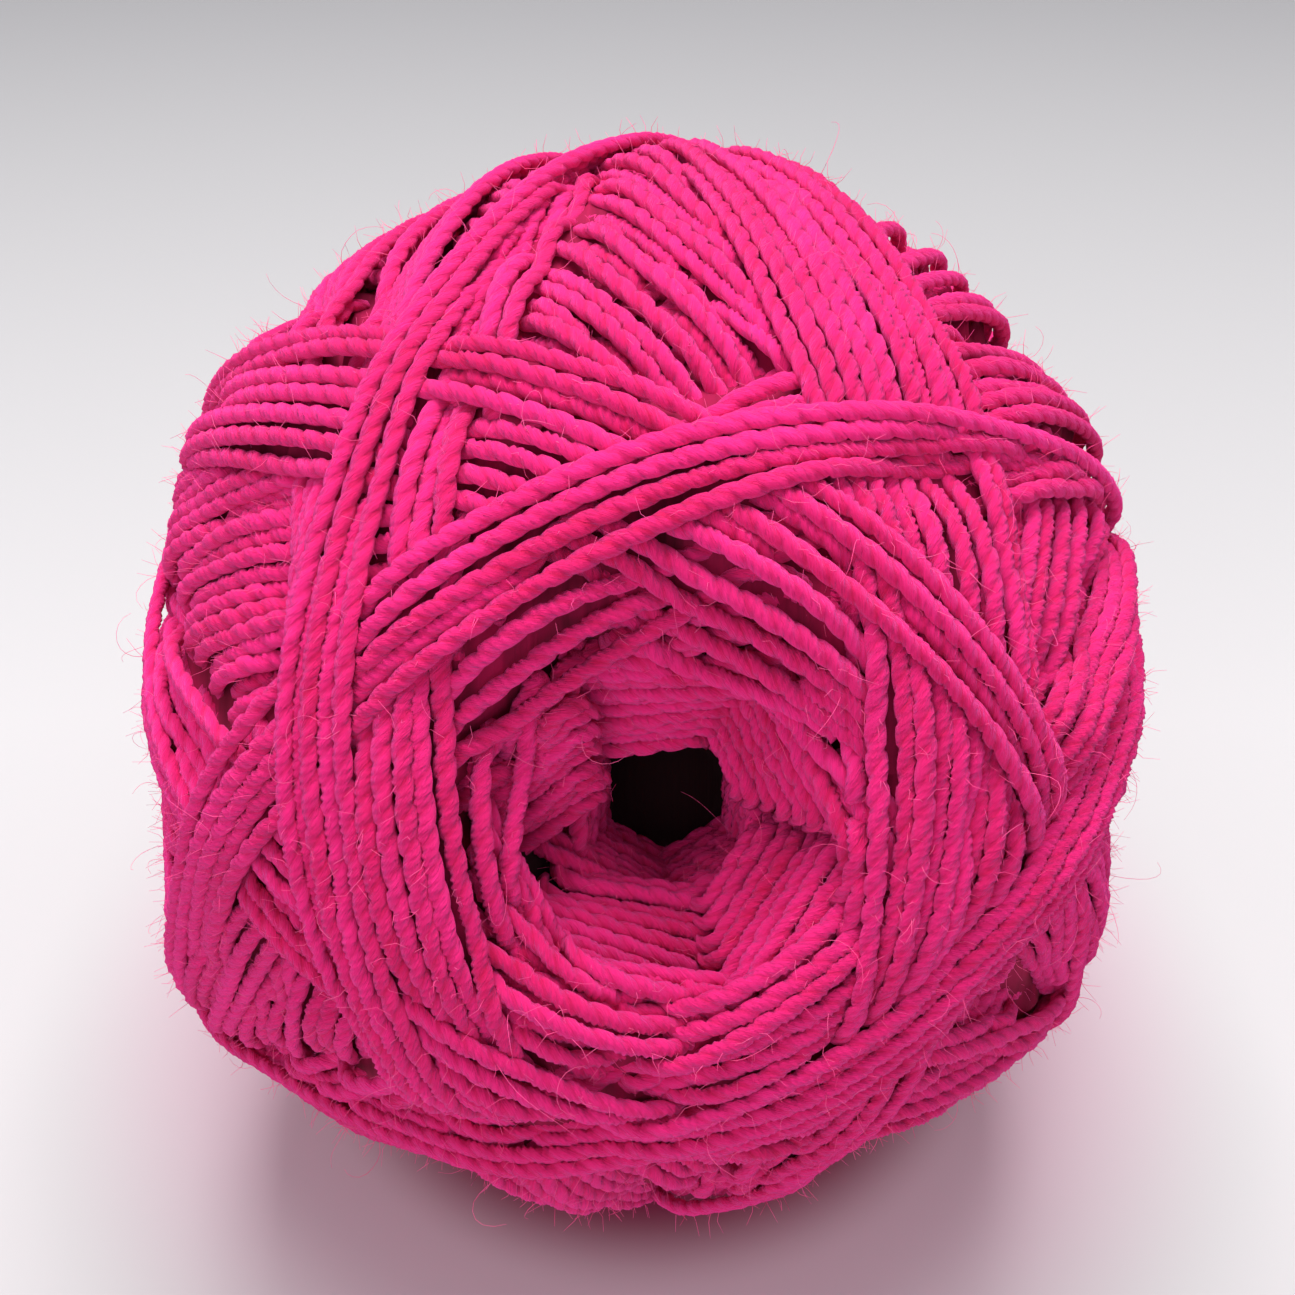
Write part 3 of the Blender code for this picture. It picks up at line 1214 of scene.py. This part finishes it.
@dataclass
class Fuzz:
    """Loose wool fibres that stand off the strands, short ones and a few long curls."""

    winder: Winder
    short_fibres: int = 8200
    long_fibres: int = 260
    short_length: tuple[float, float] = (0.0010, 0.0026)
    long_length: tuple[float, float] = (0.0030, 0.0080)
    short_steps: int = 2
    long_steps: int = 9
    short_curl: float = 1.2
    long_curl: float = 3.2
    root_height: float = 0.8
    stand_off: tuple[float, float] = (0.1, 0.9)
    stray: float = 0.35
    roll: float = 1.2
    rooted: float = 0.5
    least_curl: float = 0.6
    curl_spread: float = 0.8
    half_width: float = 0.000027
    tip_share: float = 0.45
    tints: tuple[float, float] = (0.4, 1.0)
    seed: int = 37

    def roots(self) -> tuple[np.ndarray, np.ndarray, np.ndarray]:
        """Finds where fibres can stand on the outermost yarn.

        Returns:
            Points, with their outward and forward directions.
        """
        points, outward, forward = [], [], []
        for strand in self.winder.strands:
            seen = strand.seen
            lift = self.winder.yarn.half_height * self.root_height
            points.append((strand.points() + strand.ways * lift)[seen])
            outward.append(strand.ways[seen])
            forward.append(strand.tangents()[seen])
        return np.concatenate(points), np.concatenate(outward), np.concatenate(forward)

    def build(self, material: bpy.types.Material) -> bpy.types.Object:
        """Makes all the fibres as one mesh of slim three-sided tubes.

        Args:
            material: the loose wool.

        Returns:
            The fuzz.
        """
        rng = np.random.default_rng(self.seed)
        points, outward, forward = self.roots()
        pile = MeshPile()
        kinds = (
            (self.short_fibres, self.short_length, self.short_steps, self.short_curl),
            (self.long_fibres, self.long_length, self.long_steps, self.long_curl),
        )
        for count, lengths, steps, curl in kinds:
            for place in rng.integers(0, len(points), count):
                self.fibre(pile, rng, points[place], outward[place], forward[place], lengths, steps, curl)
        LOG.info("fuzz: %d triangles", pile.triangles)
        return pile.to_object("yarn_fuzz", self.winder.form.winding, material)

    def fibre(
        self,
        pile: MeshPile,
        rng: np.random.Generator,
        root: np.ndarray,
        outward: np.ndarray,
        forward: np.ndarray,
        lengths: tuple[float, float],
        steps: int,
        curl: float,
    ) -> None:
        """Adds one curling fibre to the pile, unless it would pass below the floor.

        Args:
            pile: the pile that takes the fibre.
            rng: the seeded source of chance.
            root: the point on the yarn where it starts.
            outward: the unit direction away from the ball there.
            forward: the unit direction along the strand there.
            lengths: the shortest and longest length.
            steps: how many straight steps make the curl.
            curl: how far it curls in all, in radians.
        """
        along = forward * rng.choice((-1.0, 1.0))
        heading = unit(along + outward * rng.uniform(*self.stand_off) + rng.normal(0, self.stray, 3))
        bend = unit(rng.normal(0.0, 1.0, 3) + np.cross(heading, outward) * self.roll)
        step = rng.uniform(*lengths) / steps
        line = [root - heading * step * self.rooted]
        for number in range(steps):
            turn = curl / steps * (self.least_curl + self.curl_spread * rng.random())
            heading = unit(heading * math.cos(turn) + np.cross(bend, heading) * math.sin(turn))
            line.append(line[-1] + heading * step)
        middle = np.array(line)
        if self.winder.form.winding.to_world(middle)[:, 2].min() < 0.0:
            return
        ahead = unit(np.gradient(middle, axis=0))
        first = unit(np.cross(ahead, outward + 0.01))
        second = np.cross(ahead, first)
        thin = self.half_width * np.linspace(1.0, self.tip_share, len(middle))
        corners = np.arange(3) * 2.0 * math.pi / 3
        ring = first[:, None] * np.cos(corners)[:, None] + second[:, None] * np.sin(corners)[:, None]
        points = (middle[:, None] + ring * thin[:, None, None]).reshape(-1, 3)
        along = np.zeros((len(points), 3))
        along[:, 0] = rng.uniform(0.0, 1.0)
        pile.add(points, grid_faces(len(middle), 3), along, rng.uniform(*self.tints))
        last = len(points)
        ends = np.array(((0, 2, 1), (last - 3, last - 2, last - 1))) + pile.count - last
        pile.faces.append(ends)
        pile.triangles += 2


@dataclass
class Studio:
    """The pale sweep that the ball stands on, the soft lights and the camera."""

    floor_white: tuple[float, float, float] = (0.50, 0.495, 0.505)
    # The grey of the floor and backdrop far behind the ball is painted shade.
    floor_far_shade: tuple[float, float, float] = (0.19, 0.19, 0.20)
    # Painted dark pink contact shadow under the ball, then a painted pink glow of bounced light round it.
    floor_painted_shadow: tuple[float, float, float] = (0.24, 0.03, 0.08)
    floor_painted_glow: tuple[float, float, float] = (0.66, 0.49, 0.57)
    painted_shadow_reach: tuple[float, float] = (0.024, 0.034)
    painted_glow_reach: tuple[float, float] = (0.034, 0.060)
    far_shade_reach: tuple[float, float] = (0.04, 0.30)
    aim: tuple[float, float, float] = (0.0, 0.0, 0.0416)
    lamp_aim: tuple[float, float, float] = (0.0, 0.0, 0.04)
    distance: float = 0.172
    elevation: float = 42.0
    aim_above: float = 1.04
    lens: float = 55.4

    def floor(self) -> bpy.types.Object:
        """Makes the floor, which curves up into a backdrop far behind the ball.

        Returns:
            The floor.
        """
        width, front, bend, radius, top = 1.2, -0.6, 0.35, 0.25, 0.9
        profile = [(front, 0.0), (bend, 0.0)]
        for step in range(1, 13):
            angle = math.radians(90.0 * step / 12)
            profile.append((bend + radius * math.sin(angle), radius * (1.0 - math.cos(angle))))
        profile.append((bend + radius, top))
        points = [(side, y, z) for y, z in profile for side in (-width, width)]
        faces = [(2 * n, 2 * n + 1, 2 * n + 3, 2 * n + 2) for n in range(len(profile) - 1)]
        mesh = bpy.data.meshes.new("studio_floor")
        mesh.from_pydata(points, [], faces)
        mesh.shade_smooth()
        material = bpy.data.materials.new("studio_white")
        material.use_nodes = True
        shader = material.node_tree.nodes["Principled BSDF"]
        self.shade_floor(material.node_tree)
        shader.inputs["Roughness"].default_value = 0.7
        shader.inputs["Specular IOR Level"].default_value = 0.15
        mesh.materials.append(material)
        floor = bpy.data.objects.new("studio_floor", mesh)
        bpy.context.scene.collection.objects.link(floor)
        return floor

    def shade_floor(self, tree: bpy.types.NodeTree) -> None:
        """Greys the floor far behind the ball as painted shade, and paints a dark pink shadow close round
        the ball, ringed by a painted pink glow of bounced light.

        Args:
            tree: the floor material's nodes.
        """
        nodes, links = tree.nodes, tree.links
        place = nodes.new("ShaderNodeTexCoord")
        parts = nodes.new("ShaderNodeSeparateXYZ")
        far = add_ramp(nodes, *self.far_shade_reach)
        reach = nodes.new("ShaderNodeVectorMath")
        reach.operation = "LENGTH"
        near = add_ramp(nodes, *self.painted_shadow_reach, smooth=True)
        around = add_ramp(nodes, *self.painted_glow_reach, smooth=True)
        # Painted shade: the floor greys with distance behind the ball.
        back = add_blend(nodes, self.floor_white)
        back.inputs[7].default_value = (*self.floor_far_shade, 1.0)
        glow = add_blend(nodes, self.floor_painted_glow)
        # Painted dark pink shadow close round the ball, over a painted pink glow that gives way to the
        # floor.
        under = add_blend(nodes, self.floor_painted_shadow)
        links.new(place.outputs["Object"], parts.inputs["Vector"])
        links.new(place.outputs["Object"], reach.inputs[0])
        links.new(parts.outputs["Y"], far.inputs["Value"])
        links.new(reach.outputs["Value"], near.inputs["Value"])
        links.new(far.outputs["Result"], back.inputs["Factor"])
        links.new(reach.outputs["Value"], around.inputs["Value"])
        links.new(around.outputs["Result"], glow.inputs["Factor"])
        links.new(back.outputs[2], glow.inputs[7])
        links.new(near.outputs["Result"], under.inputs["Factor"])
        links.new(glow.outputs[2], under.inputs[7])
        links.new(under.outputs[2], nodes["Principled BSDF"].inputs["Base Color"])

    def softbox(
        self,
        name: str,
        place: tuple[float, float, float],
        size: float,
        watts: float,
        colour: tuple[float, ...],
    ) -> None:
        """Hangs one square soft light that faces the ball.

        Args:
            name: the light's name.
            place: where it hangs.
            size: the length of its side.
            watts: its power.
            colour: its colour.
        """
        light = bpy.data.lights.new(name, "AREA")
        light.size = size
        light.energy = watts
        light.color = colour
        lamp = bpy.data.objects.new(name, light)
        lamp.location = place
        lamp.rotation_euler = (Vector(self.lamp_aim) - Vector(place)).to_track_quat("-Z", "Y").to_euler()
        bpy.context.scene.collection.objects.link(lamp)

    def lights(self) -> None:
        """Sets the soft lights and the even light of a pale room."""
        self.softbox(
            "overhead_softbox", place=(0.0, 0.20, 0.73), size=0.5, watts=8.3, colour=(1.0, 0.98, 0.97)
        )
        self.softbox(
            "front_fill", place=(-0.22, -0.70, 0.36), size=0.6, watts=2.1, colour=(1.0, 0.97, 0.98)
        )
        world = bpy.data.worlds.new("pale_room")
        world.use_nodes = True
        sky = world.node_tree.nodes["Background"]
        sky.inputs["Color"].default_value = (0.86, 0.87, 0.90, 1.0)
        sky.inputs["Strength"].default_value = 0.72
        bpy.context.scene.world = world
        bpy.context.scene.view_settings.view_transform = "Standard"

    def camera(self) -> None:
        """Sets the camera at the photograph's height and distance."""
        rise = math.radians(self.elevation)
        back = Vector((0.0, -math.cos(rise), math.sin(rise))) * self.distance
        eye = bpy.data.cameras.new("photo_view")
        eye.lens = self.lens
        eye.sensor_width = 36.0
        eye.clip_start = 0.005
        camera = bpy.data.objects.new("photo_view", eye)
        camera.location = Vector(self.aim) + back
        camera.rotation_euler = Euler((math.radians(90.0 - self.elevation + self.aim_above), 0.0, 0.0))
        bpy.context.scene.collection.objects.link(camera)
        bpy.context.scene.camera = camera


def dress(piece: bpy.types.Object) -> None:
    """Declares a piece of the ball to the frame.

    Args:
        piece: the visible piece.
    """
    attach(piece, "root")
    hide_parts("yarn_ball")
    LOG.info("%s: %d faces", piece.name, len(piece.data.polygons))


def main() -> None:
    """Builds the ball and its studio."""
    logging.basicConfig(level=logging.INFO, format="%(message)s")
    studio = Studio()
    studio.camera()
    yarn = Yarn()
    form = BallForm(WindingFrame())
    winder = Winder(form, yarn)
    winder.wind()
    rim = even_blades(WALL_SIDES, out=(0.0105, 0.0146), up=(0.0355, 0.0392), turns=5)
    throat = even_blades(THROAT_SIDES, out=(0.0050, 0.0064), up=(0.0160, 0.0268), turns=9)
    dimple = even_blades(WALL_SIDES, out=(0.0020, 0.0142), up=(0.0340, 0.0395), turns=11)
    HoleLining(winder, Layer.CORE_HOLE, [*CORE_BLADES, *rim]).lay()
    HoleLining(winder, Layer.THROAT, throat).lay()
    HoleLining(winder, Layer.FAR_DIMPLE, dimple, flip=True).lay()

    shop = WoolShop()
    wool = shop.material(WoolFinish("pink_wool"))
    heart_shade_wool = shop.material(HEART_SHADE_FINISH)
    fuzz_wool = shop.material(FUZZ_FINISH)
    for piece in WoundTurns(winder, yarn).build(wool):
        dress(piece)
    dress(BallHeart(winder).build(heart_shade_wool))
    dress(Fuzz(winder).build(fuzz_wool))
    studio.floor()
    studio.lights()


if __name__ == "__main__":
    main()
